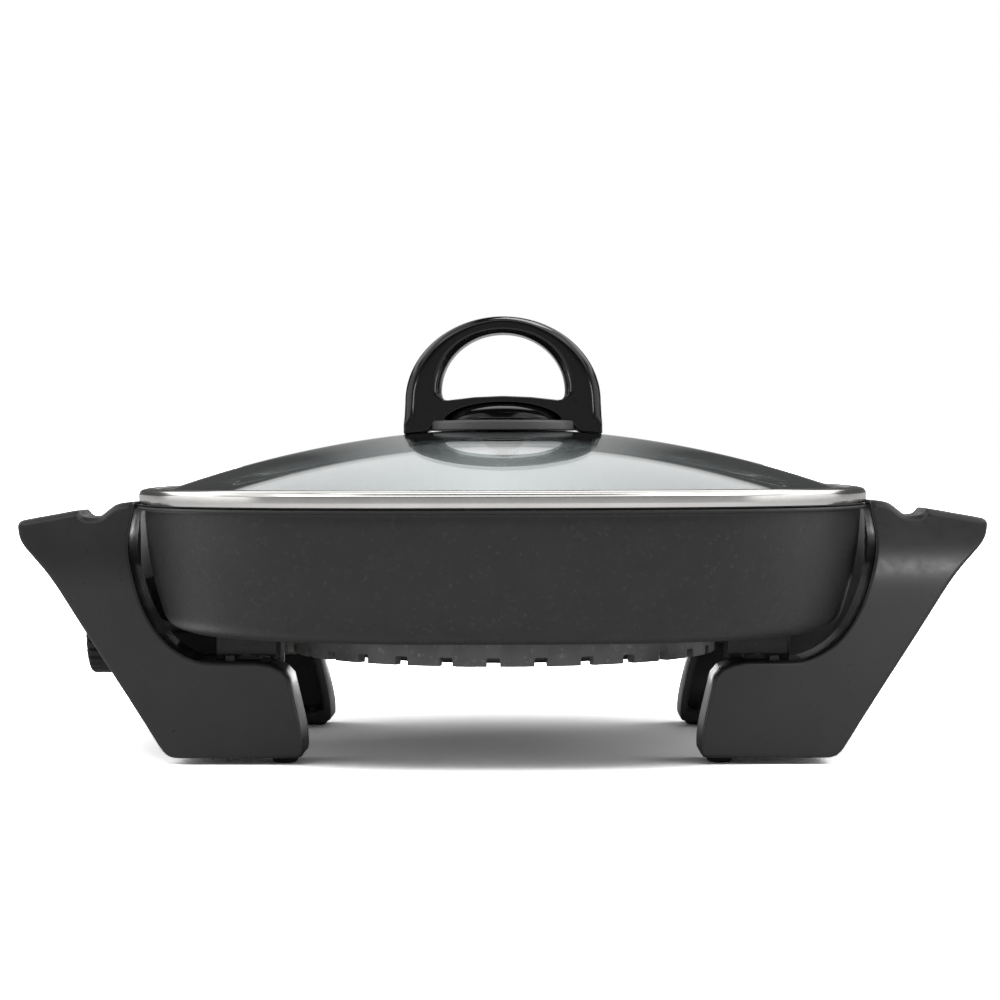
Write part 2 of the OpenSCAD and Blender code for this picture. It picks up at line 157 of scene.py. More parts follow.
def finish_object(name, me, sharp=32, body=None, mat=None):
    me.polygons.foreach_set("use_smooth", [True] * len(me.polygons))
    me.set_sharp_from_angle(angle=math.radians(sharp))
    ob = bpy.data.objects.new(name, me)
    scene.collection.objects.link(ob)
    if mat:
        me.materials.append(mat)
    if body:
        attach(ob, body)
    return ob


def sq_ring(a, n, z, segs):
    out = []
    for i in range(segs):
        t = 2 * math.pi * i / segs
        r = a / (abs(math.cos(t)) ** n + abs(math.sin(t)) ** n) ** (1 / n)
        out.append((r * math.cos(t), r * math.sin(t), z))
    return out


def loft(prof, segs=256, closed=False, n=None):
    """Surface through rounded square rings of [half width, height]; closed joins the last ring to the first."""
    verts, faces = [], []
    for a, z in prof:
        verts += sq_ring(max(a, 0.01), n(a) if n else SQ, z, segs)
    rows = len(prof)
    for r in range(rows if closed else rows - 1):
        a, b = r * segs, ((r + 1) % rows) * segs
        for i in range(segs):
            j = (i + 1) % segs
            faces.append((a + i, a + j, b + j, b + i))
    return verts, faces


def lathe(prof, segs=96, origin=(0, 0, 0), matrix=None, closed=True):
    """Turned solid: prof is a closed outline of [radius, height]."""
    verts, faces = [], []
    k = len(prof)
    for i in range(segs):
        t = 2 * math.pi * i / segs
        for r, z in prof:
            v = Vector((r * math.cos(t), r * math.sin(t), z))
            if matrix is not None:
                v = matrix @ v
            verts.append(tuple(v + Vector(origin)))
    for i in range(segs):
        j = (i + 1) % segs
        for q in range(k if closed else k - 1):
            w = (q + 1) % k
            faces.append((i * k + q, j * k + q, j * k + w, i * k + w))
    return verts, faces


def join(*parts):
    verts, faces = [], []
    for v, f in parts:
        o = len(verts)
        verts += list(v)
        faces += [tuple(i + o for i in q) for q in f]
    return verts, faces


def mirrored(part, axis):
    v, f = part
    return ([tuple(-c if i == axis else c for i, c in enumerate(p)) for p in v], [tuple(reversed(q)) for q in f])


def fill_loops(verts, loops):
    """Triangles that fill flat loops of vertex numbers, holes included."""
    bm = bmesh.new()
    made = {}
    for loop in loops:
        vs = []
        for i in loop:
            nv = bm.verts.new(verts[i])
            made[nv] = i
            vs.append(nv)
        for a, b in zip(vs, vs[1:] + vs[:1]):
            bm.edges.new((a, b))
    bmesh.ops.triangle_fill(bm, use_beauty=True, use_dissolve=False, edges=bm.edges)
    tris = [tuple(made[v] for v in f.verts) for f in bm.faces]
    bm.free()
    return tris


def plate(outer, holes, y0, y1, r_out, r_hole=None, seg=6, depth=None):
    """Plate standing in X and Z between y0 and y1, with rounded rims. r_out and r_hole give the inset of the rounding, or are
    functions of (x, z, normal)."""
    r_hole = r_out if r_hole is None else r_hole
    verts, faces = [], []
    front, back = [], []
    for loop, rr, isouter in [(ccw(outer), r_out, True)] + [(list(reversed(ccw(h))), r_hole, False) for h in holes]:
        ns = outward(loop)
        rows = []
        radii = [rr(p[0], p[1], n) if callable(rr) else rr for p, (n, _) in zip(loop, ns)]
        for side in (0, 1):
            part = []
            for k in range(-1, seg + 1):
                ring = []
                for p, (n, m), r in zip(loop, ns, radii):
                    dr = (depth or r)
                    if k < 0:
                        inset, dy = r + 0.3, 0.0
                    else:
                        th = math.pi / 2 * (1 - k / seg)
                        inset, dy = r * (1 - math.cos(th)), dr * (1 - math.sin(th))
                    y = y0 + dy if side == 0 else y1 - dy
                    ring.append((p[0] - n.x * inset * m, y, p[1] - n.y * inset * m))
                part.append(ring)
            rows += part if side == 0 else list(reversed(part))
        base = len(verts)
        k = len(loop)
        for ring in rows:
            verts += ring
        for r in range(len(rows) - 1):
            a, b = base + r * k, base + (r + 1) * k
            for i in range(k):
                j = (i + 1) % k
                faces.append((a + i, a + j, b + j, b + i))
        front.append(list(range(base, base + k)))
        back.append(list(range(base + (len(rows) - 1) * k, base + len(rows) * k)))
    faces += fill_loops(verts, front)
    faces += fill_loops(verts, back)
    return verts, faces


def tray(outer, hollow, y_face, y_back, floor, r_of, seg=6):
    """Moulded panel with a rounded face at y_face, open at y_back, hollow down to floor."""
    s = 1 if y_back > y_face else -1
    verts, faces = [], []
    loop = ccw(outer)
    ns = outward(loop)
    k = len(loop)
    radii = [r_of(p[0], p[1], n) for p, (n, _) in zip(loop, ns)]
    rings = []
    for q in range(-1, seg + 1):
        ring = []
        for p, (n, m), r in zip(loop, ns, radii):
            if q < 0:
                inset, dy = r + 0.4, 0
            else:
                th = math.pi / 2 * (1 - q / seg)
                inset, dy = r * (1 - math.cos(th)), r * (1 - math.sin(th))
            ring.append((p[0] - n.x * inset * m, y_face + s * dy, p[1] - n.y * inset * m))
        rings.append(ring)
    rings.append([(p[0], y_back - s * 0.5, p[1]) for p in loop])
    rings.append([(p[0] - n.x * 0.15, y_back - s * 0.15, p[1] - n.y * 0.15) for p, (n, _) in zip(loop, ns)])
    rings.append([(p[0] - n.x * 0.5, y_back, p[1] - n.y * 0.5) for p, (n, _) in zip(loop, ns)])
    for ring in rings:
        verts += ring
    for r in range(len(rings) - 1):
        for i in range(k):
            j = (i + 1) % k
            faces.append((r * k + i, r * k + j, (r + 1) * k + j, (r + 1) * k + i))
    faces += fill_loops(verts, [list(range(k))])
    top = list(range((len(rings) - 1) * k, len(rings) * k))
    hl = ccw(hollow)
    hn = outward(hl)
    h = len(hl)
    b0 = len(verts)
    verts += [(p[0] + n.x * 0.4, y_back, p[1] + n.y * 0.4) for p, (n, _) in zip(hl, hn)]
    verts += [(p[0], y_back - s * 0.4, p[1]) for p in hl]
    verts += [(p[0], floor + s * 1.2, p[1]) for p in hl]
    verts += [(p[0] - n.x * 1.2, floor, p[1] - n.y * 1.2) for p, (n, _) in zip(hl, hn)]
    for r in range(3):
        for i in range(h):
            j = (i + 1) % h
            faces.append((b0 + r * h + i, b0 + r * h + j, b0 + (r + 1) * h + j, b0 + (r + 1) * h + i))
    faces += fill_loops(verts, [list(range(b0 + 3 * h, b0 + 4 * h))])
    faces += fill_loops(verts, [top, list(range(b0, b0 + h))])
    return verts, faces


def sweep_y(sections, ys):
    """Solid lofted along Y through sections of (x, z) with the same number of points."""
    verts, faces = [], []
    k = len(sections[0])
    for sec, y in zip(sections, ys):
        verts += [(p[0], y, p[1]) for p in sec]
    for r in range(len(sections) - 1):
        for i in range(k):
            j = (i + 1) % k
            faces.append((r * k + i, r * k + j, (r + 1) * k + j, (r + 1) * k + i))
    faces += fill_loops(verts, [list(range(k))])
    faces += fill_loops(verts, [list(range((len(sections) - 1) * k, len(sections) * k))])
    return verts, faces


def boolean(a, cutters, op="DIFFERENCE"):
    """Object a with the cutters taken away or added, as a new mesh on a."""
    for c in cutters:
        m = a.modifiers.new("cut", "BOOLEAN")
        m.operation = op
        m.solver = "MANIFOLD"
        m.object = c
    bpy.context.view_layer.update()
    dg = bpy.context.evaluated_depsgraph_get()
    me = bpy.data.meshes.new_from_object(a.evaluated_get(dg))
    a.modifiers.clear()
    old = a.data
    a.data = me
    bpy.data.meshes.remove(old)
    for c in cutters:
        bpy.data.objects.remove(c)
    return a


def bevelled(ob, width, segments=2, angle=40):
    m = ob.modifiers.new("soften", "BEVEL")
    m.width = width * MM
    m.segments = segments
    m.limit_method = "ANGLE"
    m.angle_limit = math.radians(angle)
    m.harden_normals = False
    m.miter_outer = "MITER_ARC"
    bpy.context.view_layer.update()
    dg = bpy.context.evaluated_depsgraph_get()
    me = bpy.data.meshes.new_from_object(ob.evaluated_get(dg))
    ob.modifiers.clear()
    old = ob.data
    ob.data = me
    bpy.data.meshes.remove(old)
    return ob


def rounded_box(lo, hi, r, seg=3):
    bm = bmesh.new()
    bmesh.ops.create_cube(bm, size=1)
    for v in bm.verts:
        v.co = Vector(((lo[i] + hi[i]) / 2 + v.co[i] * (hi[i] - lo[i]) for i in range(3)))
    bmesh.ops.bevel(bm, geom=bm.edges[:], offset=r, segments=seg, profile=0.5, affect="EDGES")
    verts = [tuple(v.co) for v in bm.verts]
    faces = [tuple(v.index for v in f.verts) for f in bm.faces]
    bm.free()
    return verts, faces


# ------------------------------------------------------------------ materials

class Mat:
    """A procedural material. Coordinates are the object's own, in metres."""

    def __init__(self, name):
        self.m = bpy.data.materials.new(name)
        self.m.use_nodes = True
        self.t = self.m.node_tree
        self.b = self.t.nodes["Principled BSDF"]
        self.out = self.t.nodes["Material Output"]
        self.co = self.t.nodes.new("ShaderNodeTexCoord").outputs["Object"]

    def set(self, **kw):
        for k, v in kw.items():
            self.b.inputs[k.replace("_", " ")].default_value = v
        return self

    def noise(self, scale, detail=3, rough=0.5, stretch=None, dist=0.0):
        n = self.t.nodes.new("ShaderNodeTexNoise")
        n.inputs["Scale"].default_value = scale
        n.inputs["Detail"].default_value = detail
        n.inputs["Roughness"].default_value = rough
        n.inputs["Distortion"].default_value = dist
        self.t.links.new(self.mapped(stretch), n.inputs["Vector"])
        return n.outputs["Fac"]

    def mapped(self, stretch=None):
        if stretch is None:
            return self.co
        mp = self.t.nodes.new("ShaderNodeMapping")
        mp.inputs["Scale"].default_value = stretch
        self.t.links.new(self.co, mp.inputs["Vector"])
        return mp.outputs["Vector"]

    def cells(self, scale, what="Distance", feature="F1"):
        n = self.t.nodes.new("ShaderNodeTexVoronoi")
        n.feature = feature
        n.inputs["Scale"].default_value = scale
        self.t.links.new(self.co, n.inputs["Vector"])
        return n.outputs[what]

    def ramp(self, src, stops):
        n = self.t.nodes.new("ShaderNodeValToRGB")
        e = n.color_ramp.elements
        while len(e) > 1:
            e.remove(e[-1])
        e[0].position = stops[0][0]
        e[0].color = self.rgba(stops[0][1])
        for p, c in stops[1:]:
            x = e.new(p)
            x.color = self.rgba(c)
        self.t.links.new(src, n.inputs["Fac"])
        return n.outputs["Color"]

    @staticmethod
    def rgba(c):
        return (c, c, c, 1) if not hasattr(c, "__len__") else (c[0], c[1], c[2], 1)

    def remap(self, src, lo, hi, a, b, smooth=False):
        n = self.t.nodes.new("ShaderNodeMapRange")
        if smooth:
            n.interpolation_type = "SMOOTHSTEP"
        for k, v in zip(("From Min", "From Max", "To Min", "To Max"), (lo, hi, a, b)):
            n.inputs[k].default_value = v
        self.t.links.new(src, n.inputs["Value"])
        return n.outputs["Result"]

    def math(self, op, a, b=None):
        n = self.t.nodes.new("ShaderNodeMath")
        n.operation = op
        for i, v in enumerate((a, b)):
            if v is None:
                continue
            if hasattr(v, "links"):
                self.t.links.new(v, n.inputs[i])
            else:
                n.inputs[i].default_value = v
        return n.outputs[0]

    def mix(self, fac, a, b):
        n = self.t.nodes.new("ShaderNodeMix")
        n.data_type = "RGBA"
        ins = {i.name: i for i in n.inputs if i.type == "RGBA"}
        for v, key in ((a, "A"), (b, "B")):
            if hasattr(v, "links"):
                self.t.links.new(v, ins[key])
            else:
                ins[key].default_value = self.rgba(v)
        self.t.links.new(fac, n.inputs["Factor"])
        return [o for o in n.outputs if o.type == "RGBA"][0]

    def to(self, socket, src):
        self.t.links.new(src, self.b.inputs[socket])
        return self

    def bump(self, height, strength, distance):
        n = self.t.nodes.new("ShaderNodeBump")
        n.inputs["Strength"].default_value = strength
        n.inputs["Distance"].default_value = distance
        self.t.links.new(height, n.inputs["Height"])
        if getattr(self, "last_bump", None) is not None:
            self.t.links.new(self.last_bump, n.inputs["Normal"])
        self.last_bump = n.outputs["Normal"]
        self.t.links.new(n.outputs["Normal"], self.b.inputs["Normal"])
        return self


def make_cast(name="cast_nonstick", lo=(0.0235, 0.0235, 0.0245), hi=(0.0285, 0.0285, 0.0295), r0=0.42, r1=0.56):
    m = Mat(name)
    m.set(Specular_IOR_Level=0.5)
    cloud = m.noise(90, 2, 0.5)
    fleck = m.cells(620, "Color")
    sep = m.t.nodes.new("ShaderNodeSeparateColor")
    m.t.links.new(fleck, sep.inputs["Color"])
    grain = m.noise(1500, 2, 0.6)
    spark = m.remap(sep.outputs["Red"], 0.86, 1.0, 0, 1)
    dark = m.ramp(cloud, [(0.3, lo), (0.7, hi)])
    light = m.mix(m.math("MULTIPLY", spark, m.remap(grain, 0.45, 0.7, 0, 0.5)), dark, tuple(3.2 * c for c in hi))
    m.to("Base Color", light)
    m.to("Roughness", m.remap(m.noise(700, 3, 0.6), 0.3, 0.7, r0, r1))
    m.bump(m.noise(900, 3, 0.55), 0.35, 0.00012)
    m.bump(sep.outputs["Green"], 0.16, 0.0001)
    return m.m


def make_interior():
    m = Mat("pan_interior")
    cloud = m.noise(60, 3, 0.5)
    m.to("Base Color", m.ramp(cloud, [(0.3, (0.02, 0.02, 0.021)), (0.7, (0.03, 0.03, 0.031))]))
    m.to("Roughness", m.remap(m.noise(300, 3, 0.6), 0.3, 0.7, 0.3, 0.42))
    m.bump(m.noise(1400, 2, 0.5), 0.15, 0.00008)
    return m.m


def make_black(name, lo, hi, r0, r1, grain, strength, coat=0.0):
    m = Mat(name)
    m.to("Base Color", m.ramp(m.noise(40, 3, 0.5), [(0.3, lo), (0.7, hi)]))
    m.to("Roughness", m.remap(m.noise(260, 4, 0.65), 0.3, 0.7, r0, r1))
    if coat:
        m.set(Coat_Weight=coat, Coat_Roughness=0.12)
    m.bump(m.noise(grain, 2, 0.5), strength, 0.00006)
    m.bump(m.noise(22, 1, 0.4), 0.05, 0.001)
    return m.m


def make_metal(name, col0, col1, r0, r1, stretch, scale=400, bump=0.05):
    m = Mat(name)
    m.set(Metallic=1.0)
    brush = m.noise(scale, 3, 0.6, stretch=stretch)
    m.to("Base Color", m.ramp(m.noise(50, 3, 0.5), [(0.3, col0), (0.7, col1)]))
    m.to("Roughness", m.remap(brush, 0.3, 0.7, r0, r1))
    m.bump(brush, bump, 0.00003)
    return m.m


def make_glass():
    m = Mat("lid_glass")
    m.set(Transmission_Weight=1.0, IOR=1.5)
    m.to("Base Color", m.ramp(m.noise(6, 1, 0.5), [(0.3, (0.90, 0.955, 0.955)), (0.7, (0.915, 0.965, 0.965))]))
    m.to("Roughness", m.remap(m.noise(30, 2, 0.5), 0.3, 0.7, 0.0, 0.012))
    m.bump(m.noise(14, 1, 0.4), 0.05, 0.0006)
    return m.m


def make_ceramic():
    m = Mat("ceramic")
    m.to("Base Color", m.ramp(m.noise(300, 4, 0.6), [(0.3, (0.66, 0.62, 0.54)), (0.7, (0.80, 0.77, 0.70))]))
    m.to("Roughness", m.remap(m.noise(500, 3, 0.6), 0.3, 0.7, 0.55, 0.8))
    m.bump(m.noise(1800, 2, 0.5), 0.2, 0.0001)
    return m.m


def make_lens():
    m = Mat("pilot_amber")
    m.set(Transmission_Weight=0.55, IOR=1.49)
    m.to("Base Color", m.ramp(m.noise(300, 2, 0.5), [(0.3, (0.8, 0.2, 0.02)), (0.7, (0.95, 0.36, 0.05))]))
    m.to("Roughness", m.remap(m.noise(900, 2, 0.5), 0.3, 0.7, 0.08, 0.2))
    m.bump(m.cells(900), 0.25, 0.0003)
    return m.m


def make_paint():
    m = Mat("dial_print")
    m.to("Base Color", m.ramp(m.noise(700, 3, 0.6), [(0.3, (0.62, 0.62, 0.61)), (0.7, (0.78, 0.78, 0.77))]))
    m.to("Roughness", m.remap(m.noise(900, 2, 0.5), 0.3, 0.7, 0.5, 0.65))
    return m.m


M_CAST = make_cast()
M_INSIDE = make_interior()
M_SATIN = make_black("black_moulding", (0.0365, 0.0365, 0.0378), (0.0445, 0.0445, 0.0461), 0.27, 0.34, 2600, 0.12)
# painted shade: a near-black, rougher copy of the black moulding for the heat walls, so they fall to black below like
# faces in shade
M_WALL_SHADED = make_black("black_moulding_shaded_wall", (0.006, 0.006, 0.0063), (0.009, 0.009, 0.0094), 0.46, 0.52, 1500, 0.03)
# painted shade: a near-black copy of the black moulding for the leg faces that turn towards the pan
M_FLANGE_SHADED = make_black("black_moulding_shaded_inner", (0.007, 0.007, 0.0073), (0.010, 0.010, 0.0104), 0.20, 0.26, 1500, 0.03)
# painted reflection: the skirt is gloss moulding, drawn here in a far lighter grey that stands in for the reflection on
# its side
M_SKIRT_LIT = make_black("skirt_moulding_painted_sheen", (0.13, 0.13, 0.134), (0.16, 0.16, 0.164), 0.34, 0.44, 1500, 0.06)
# painted shade: a darker copy of the gloss moulding with weaker reflection, for the hub in the recess under the handle
M_HUB_SHADED = make_black("hub_moulding_shaded", (0.003, 0.003, 0.0033), (0.0045, 0.0045, 0.0048), 0.09, 0.14, 1500, 0.02)
M_HUB_SHADED.node_tree.nodes["Principled BSDF"].inputs["Specular IOR Level"].default_value = 0.28
M_GLOSS = make_black("gloss_moulding", (0.004, 0.004, 0.0044), (0.006, 0.006, 0.0065), 0.10, 0.17, 1500, 0.03)
M_CONTROL = make_black("control_moulding", (0.012, 0.012, 0.0125), (0.017, 0.017, 0.018), 0.42, 0.52, 1300, 0.3)
M_RUBBER = make_black("foot_rubber", (0.010, 0.010, 0.010), (0.016, 0.016, 0.016), 0.62, 0.78, 1700, 0.3)
M_SEAL = make_black("seal_rubber", (0.018, 0.018, 0.019), (0.026, 0.026, 0.027), 0.5, 0.62, 1700, 0.2)
M_RIM = make_metal("rim_steel", (0.74, 0.73, 0.705), (0.82, 0.81, 0.79), 0.10, 0.17, (1, 1, 14), 260, 0.03)
M_PLATED = make_metal("plated_steel", (0.55, 0.55, 0.53), (0.68, 0.68, 0.65), 0.24, 0.38, None, 900, 0.08)
M_PROBE = make_metal("probe_steel", (0.58, 0.58, 0.57), (0.70, 0.70, 0.69), 0.2, 0.32, (0.1, 1, 1), 900, 0.06)
M_SHEATH = make_metal("element_sheath", (0.10, 0.10, 0.10), (0.17, 0.165, 0.16), 0.45, 0.62, None, 700, 0.2)
M_BRASS = make_metal("contact_brass", (0.66, 0.48, 0.22), (0.78, 0.60, 0.30), 0.22, 0.34, None, 800, 0.06)
# painted light: a much lighter copy of the pan's coating for the ring, standing in for the bounce from the lit floor in
# front
M_RING_LIT = make_cast("cast_nonstick_bounce_lit", (0.15, 0.15, 0.153), (0.19, 0.19, 0.193), 0.30, 0.44)
M_CASTBARE = make_metal("cast_metal", (0.36, 0.36, 0.37), (0.48, 0.48, 0.48), 0.4, 0.56, None, 900, 0.25)
M_GLASS = make_glass()
M_CERAMIC = make_ceramic()
M_LENS = make_lens()
M_PRINT = make_paint()

SLOT_MATS = {
    "cast_nonstick": M_CAST, "black_moulding": M_SATIN, "gloss_moulding": M_GLOSS, "control_moulding": M_CONTROL,
    "foot_rubber": M_RUBBER, "seal_rubber": M_SEAL, "rim_steel": M_RIM, "plated_steel": M_PLATED,
    "probe_steel": M_PROBE, "element_sheath": M_SHEATH, "contact_brass": M_BRASS, "cast_metal": M_CASTBARE,
    "lid_glass": M_GLASS, "ceramic": M_CERAMIC, "pilot_amber": M_LENS,
}


def stands_for(ob, slot, *nodes):
    if nodes:
        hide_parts(*nodes)
    return ob


# ------------------------------------------------------------------ pan

h, b, t = PAN_H, PAN_B, PAN_T
outer_wall = catmull([(h - 15.8, b + 0.45), (h - 11.2, b + 2.3), (h - 8.2, b + 5.6), (h - 6.1, b + 11.5), (h - 3.9, b + 19.5),
                      (h - 2.2, b + 27.5), (h - 1, b + 36), (h - 0.2, b + 44.5), (h, t - 2.6)], 5)
inner_wall = catmull([(h - 2.6, t - 1), (h - 3.2, b + 44.5), (h - 4.2, b + 36), (h - 5.6, b + 27.5), (h - 7.6, b + 19),
                      (h - 10.4, b + 11.6), (h - 13.6, b + 7.6), (h - 18, b + 5), (h - 24, b + 4.2)], 5)
lip = fillet([(h + 0.02, t - 2.3), (h + 0.2, t - 1.5), (h + 3.2, t - 1.3), (h + 3.4, t - 0.6), (h + 3.1, t), (h - 1.4, t),
              (h - 2.4, t - 0.8)], 0.5, 4, closed=False)
under = [(2, b), (40, b), (80, b), (110, b), (h - 21.4, b + 0.02), (h - 18.5, b + 0.12)]
over = [(h - 30, b + 4.2), (90, b + 4.2), (50, b + 4.2), (2, b + 4.2)]
pan_prof = under + outer_wall + lip + inner_wall + over
v, f = loft(pan_prof, 288)
SEG = 288
f.append(tuple(range(SEG - 1, -1, -1)))
f.append(tuple(range((len(pan_prof) - 1) * SEG, len(pan_prof) * SEG)))
pan = finish_mesh("pan_shell", v, f, sharp=40, body="base", mat=M_CAST)
pan.data.materials.append(M_INSIDE)
for p in pan.data.polygons:
    if p.normal.z > 0.02 and p.center.z > (b + 3) * MM and p.center.z < (t - 0.4) * MM and max(abs(p.center.x), abs(p.center.y)) < (h - 0.8) * MM:
        p.material_index = 1
    c = p.center
    if p.normal.x * c.x + p.normal.y * c.y < -1e-6 and c.z > (b + 3) * MM:
        p.material_index = 1
stands_for(pan, "cast_nonstick", "skillet_pan")

# Ring under the pan, with its notches cut
v, f = lathe(fillet([(86.5, b + 0.5), (86.5, 40.5), (91, 40.5), (91, b + 0.5)], [0, 0.5, 0.5, 0], 3), 360)
ring = finish_mesh("pan_ring", v, f, sharp=40)
cut = []
for i in range(30):
    a = math.radians(-91.9 + 12 * i)
    m = Matrix.Rotation(a, 3, "Z")
    bx, bf = rounded_box((82, -2.7, 38.5), (95, 2.7, 44.1), 0.7, 2)
    cut.append(([tuple(m @ Vector(p)) for p in bx], bf))
bx, bf = rounded_box((-95, -20, 38.5), (-83, 20, 49.5), 1.2, 2)
cut.append((bx, bf))
knife = finish_mesh("ring_knife", *join(*cut))
boolean(ring, [knife])
ring = bevelled(ring, 0.3, 2, 50)
# the ring wears the lighter copy of the coating: painted light from the floor
ring.data.materials.clear()
ring.data.materials.append(M_RING_LIT)
ring.data.polygons.foreach_set("use_smooth", [True] * len(ring.data.polygons))
ring.data.set_sharp_from_angle(angle=math.radians(35))
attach(ring, "base")

# Bosses that the legs screw to, seats of the heater and of the probe
boss = []
for sx in (-1, 1):
    for sy in (-1, 1):
        cx, cy = sx * 103, sy * 64
        v0, f0 = rounded_box((cx - 12.4, cy - 5.5, 43.4), (cx + 12.4, cy + 5.5, b + 1), 0.9)
        boss.append((v0, f0))
        boss.append(lathe(fillet([(0.01, 41.4), (5.5, 41.4), (5.5, b + 0.4), (0.01, b + 0.4)], [0, 0.6, 0, 0], 3), 40, (cx, cy, 0)))
        for e in (-11.2, 11.2):
            boss.append(lathe(fillet([(0.01, 41.4), (2, 41.4), (2.2, b + 0.4), (0.01, b + 0.4)], [0, 0.5, 0, 0], 3), 32, (cx + e, cy, 0)))
for a in (40, 100, 260, 320):
    cx, cy = 74 * math.cos(math.radians(a)), 74 * math.sin(math.radians(a))
    boss.append(lathe(fillet([(0.01, b - 5), (5, b - 5), (5.2, b + 0.4), (0.01, b + 0.4)], [0, 0.7, 0, 0], 3), 40, (cx, cy, 0)))
boss.append(rounded_box((-86, -4, b - 3.5), (-64, 4, b + 0.5), 0.6))
bosses = finish_mesh("pan_bosses", *join(*boss), sharp=40, body="base", mat=M_CAST)

# ------------------------------------------------------------------ handles with legs

LEG_FACE = [
    (194.1, 93.6), (194.5, 96.2), (193.9, 97.9), (192.2, 98.6), (180, 100.7), (171, 102.4), (169.8, 102.2), (168.4, 100.3),
    (166.6, 99.5), (161.6, 99.8), (159.4, 101.5), (157, 103.6), (154.6, 105), (150.6, 105.6), (147.9, 105.6), (147.6, 104),
    (148.8, 96), (149.6, 90), (149.2, 84), (148.2, 79), (146.6, 72.5), (144.4, 65.5), (141.2, 58.7), (137, 52.4),
    (132.4, 47.7), (126.5, 44), (121, 41.9), (117, 41.4), (86.6, 41.4), (82.6, 25), (79.9, 13), (79.4, 5),
    (80.1, 3.5), (81.7, 2.7), (130, 2.7), (133, 3.3), (135.3, 4.9), (137, 7.2), (143.1, 17), (151.3, 29.8),
    (163.6, 48.9), (171.7, 61.7), (177.6, 71.2), (182.5, 78), (188.2, 84.3), (191.4, 87.8), (193.3, 90.8)]
LEG_HOLLOW = [
    (189.9, 93), (188.4, 95), (180, 96.5), (169, 98.3), (164, 97), (161, 96.6), (157.5, 98), (154.6, 100.8),
    (151.2, 101.8), (152.4, 95), (152.8, 90), (152.4, 84), (151.3, 78), (149.6, 71), (147.2, 64.2), (143.8, 57.2),
    (139.3, 50.4), (134.2, 45.2), (127.7, 41.2), (121.6, 38.9), (117, 38.4), (89, 38.4), (85.6, 24.6), (83.1, 13),
    (82.6, 6), (127.8, 5.7), (130, 6.3), (131.9, 7.7), (133.5, 9.3), (140, 18.8), (148.4, 31.6), (161, 50.6),
    (169.4, 63.4), (175.5, 73), (180.6, 79.9), (185.6, 86.1)]


def rear_pts(pts):
    """Outline of the rear leg: its top end is drawn a little lower."""
    return [(x, z - 6.4 * max(0.0, min(1.0, (x - 156) / 10)) * max(0.0, min(1.0, (z - 84) / 10))) for x, z in pts]


def leg_round(x, z, n):
    """Rounding of the leg's face: broad along the top of the handle, fine along the rest."""
    up = max(0.0, min(1.0, (n.y - 0.2) / 0.5)) * max(0.0, min(1.0, (z - 92) / 4))
    return 1.3 + 1.2 * up * up * (3 - 2 * up)


def lean(part, y_face, s):
    """Lets the face of a leg roll gently back towards the top of the handle, wall thickness kept."""
    me = bpy.data.meshes.new("lean")
    me.from_pydata([tuple(q) for q in part[0]], [], part[1])
    bm = bmesh.new()
    bm.from_mesh(me)
    bpy.data.meshes.remove(me)
    bmesh.ops.remove_doubles(bm, verts=bm.verts, dist=1e-5)
    for i in range(17):
        bmesh.ops.bisect_plane(bm, geom=bm.verts[:] + bm.edges[:] + bm.faces[:], dist=1e-5,
                               plane_co=(0, 0, 68 + 2.0 * i), plane_no=(0, 0, 1))
    for q in bm.verts:
        near = 1 - min(1.0, max(0.0, (s * (q.co.y - y_face) - 5) / 8))
        t = min(1.0, max(0.0, (q.co.z - 68) / 26))
        rise = 26 * (t ** 3 - t ** 4 / 2) + max(0.0, q.co.z - 94)
        q.co.y += s * 0.26 * rise * near
    bmesh.ops.triangulate(bm, faces=[f for f in bm.faces if len(f.verts) > 4])
    bm.verts.index_update()
    verts = [tuple(q.co) for q in bm.verts]
    faces = [tuple(q.index for q in f.verts) for f in bm.faces]
    bm.free()
    return verts, faces


def grip_sections():
    top = [(193.9, 92.2), (193.8, 93.2), (192.8, 94.3), (191, 94.8), (180, 95.2)]
    low = [(185.6, 83.8), (188, 84.3), (191.2, 87.8), (193.1, 90.6)]
    secs, ys = [], []
    n = 60
    for i in range(n + 1):
        y = -71.4 + 142.8 * i / n
        cut = -65.6 + math.sqrt(237.6 ** 2 - y * y)
        k = 3.0
        u = math.log(math.exp(cut / k - 50) + math.exp(164.2 / k - 50)) * k + 50 * k  # smooth maximum
        u = min(u, 172.4)
        zt = 95.4 - (u - 164.2) * 0.04
        inner = [(u + 6.5, zt - 0.35), (u + 3.4, zt), (u + 1.5, zt - 0.35), (u + 0.35, zt - 1.6), (u, zt - 3.4), (u + 0.5, zt - 5.1),
                 (u + 2.2, zt - 6.9), (u + 5, zt - 8.6)]
        sec = top + inner + [(max(180, u + 9), 85.4)] + low
        secs.append(chaikin(sec, 2))
        ys.append(y)
    return secs, ys


def heat_wall():
    secs, ys = [], []
    n = 40
    for i in range(n + 1):
        y = -53 + 106 * i / n
        u = -268.4 + math.sqrt(420 ** 2 - y * y)
        sec = fillet([(u, 71.5), (u + 3.6, 71.5), (u + 3.6, 102.2), (u, 102.2)], [1.2, 1.2, 1.5, 1.5], 3)
        secs.append(sec)
        ys.append(y)
    return secs, ys


def side_parts():
    front = lean(tray(chaikin(LEG_FACE, 2), chaikin(LEG_HOLLOW, 2), -78, -51, -75, leg_round), -78, 1)
    rear = mirrored(lean(tray(chaikin(rear_pts(LEG_FACE), 2), chaikin(rear_pts(LEG_HOLLOW), 2), -78, -51, -75, leg_round), -78, 1), 1)
    return [front, rear, sweep_y(*grip_sections())]


